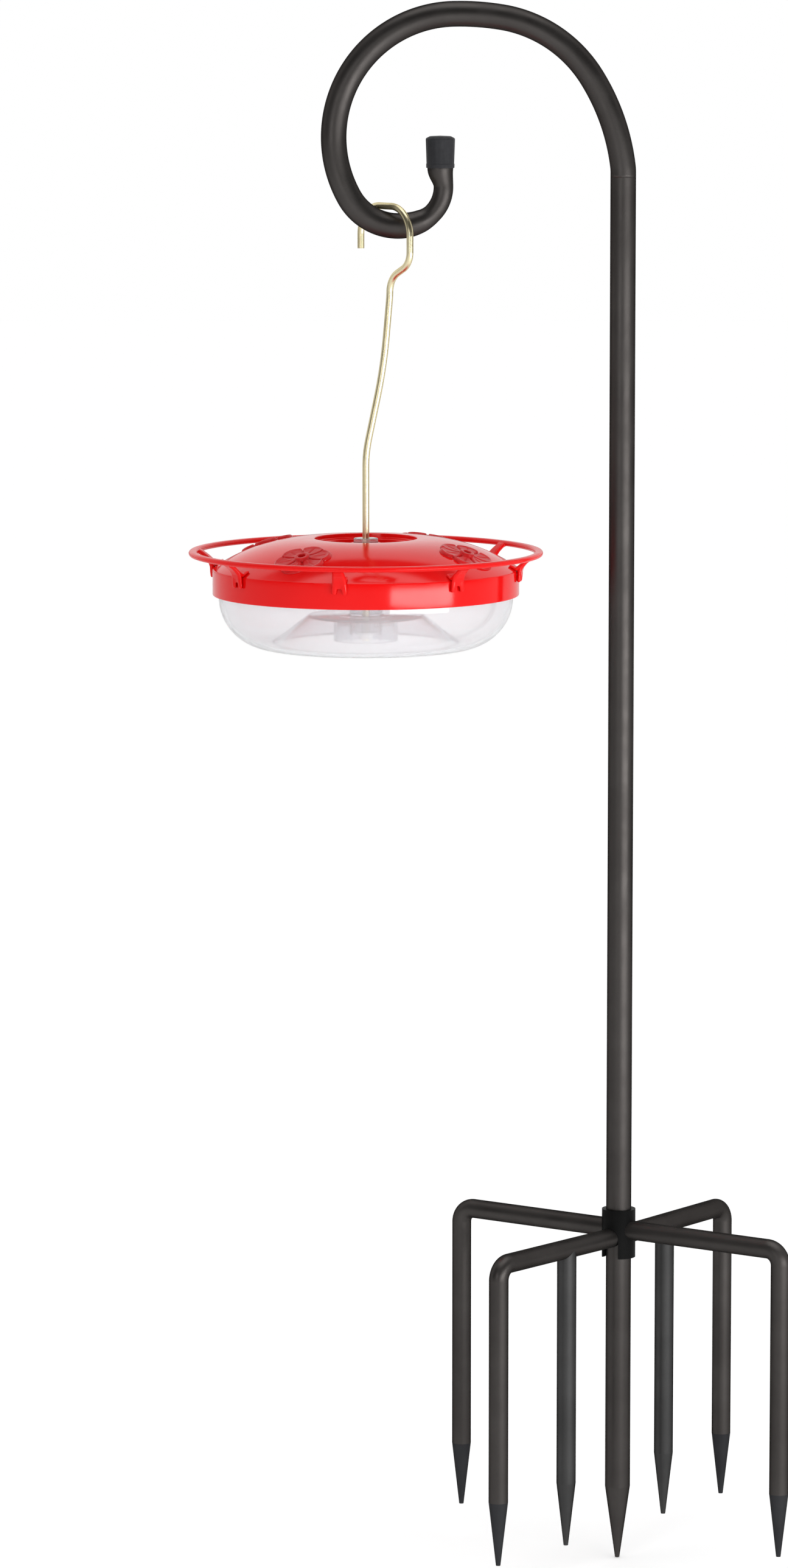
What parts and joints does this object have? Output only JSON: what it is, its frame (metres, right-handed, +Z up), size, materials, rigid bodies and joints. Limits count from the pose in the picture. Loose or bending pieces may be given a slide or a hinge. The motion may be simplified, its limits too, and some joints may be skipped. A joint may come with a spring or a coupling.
{
  "type": "bird feeder on pole",
  "caption": "Shepherd's hook pole with a pronged ground stake, carrying a round saucer nectar feeder with perch ring on a bent brass hanging rod.",
  "frame": {"origin": "on the pole's axis at ground level, under the lower arms of the stake", "axes": "+Z up along the pole; the hook leans towards -X and lies in the XZ plane; the stake's prongs go down to -Z"},
  "size_m": [0.3537, 0.2088, 0.9282],
  "materials": {
    "powder_coat": "satin dark bronze powder coat",
    "tip_steel": "darker satin coat",
    "collar_black": "satin black coat",
    "cap_rubber": "matt",
    "brass_rod": "bright",
    "nylon": "natural, slightly translucent",
    "red_plastic": "glossy",
    "clear_plastic": "clear"
  },
  "bodies": {
    "pole": {"hook_tube": "powder_coat", "hook_cap": "cap_rubber", "pole_tube": "powder_coat", "base_spike": "powder_coat", "spike_tip": "powder_coat", "base_collar": "collar_black", "prong_front_left": "powder_coat", "prong_front_right": "powder_coat", "prong_back_left": "powder_coat", "prong_back_right": "powder_coat", "tip_front_left": "tip_steel", "tip_front_right": "tip_steel", "tip_back_left": "tip_steel", "tip_back_right": "tip_steel", "inner_prong_front": "powder_coat", "inner_prong_back": "powder_coat"},
    "hanger": {"hanger_rod": "brass_rod", "rod_washer": "nylon", "rod_nut": "nylon"},
    "basin": {"feeder_basin": "clear_plastic"},
    "cover": {"feeder_cover": "red_plastic", "ant_moat": "red_plastic", "perch_ring": "red_plastic", "flower_1": "red_plastic", "flower_2": "red_plastic", "flower_3": "red_plastic", "flower_4": "red_plastic"}
  },
  "joints": [
    {"name": "feeder_swing", "type": "hinge", "parent": "pole", "child": "hanger", "pos_m": [-0.13912, 0, 0.60821], "axis": [0.9736, 0, -0.2284], "range_deg": [-18, 18]},
    {"name": "feeder_spin", "type": "hinge", "parent": "hanger", "child": "basin", "pos_m": [-0.15063, 0, 0.4], "axis": [0, 0, 1], "continuous": true},
    {"name": "cover_lift", "type": "slide", "parent": "basin", "child": "cover", "axis": [0, 0, 1], "range_m": [0, 0.055]}
  ]
}
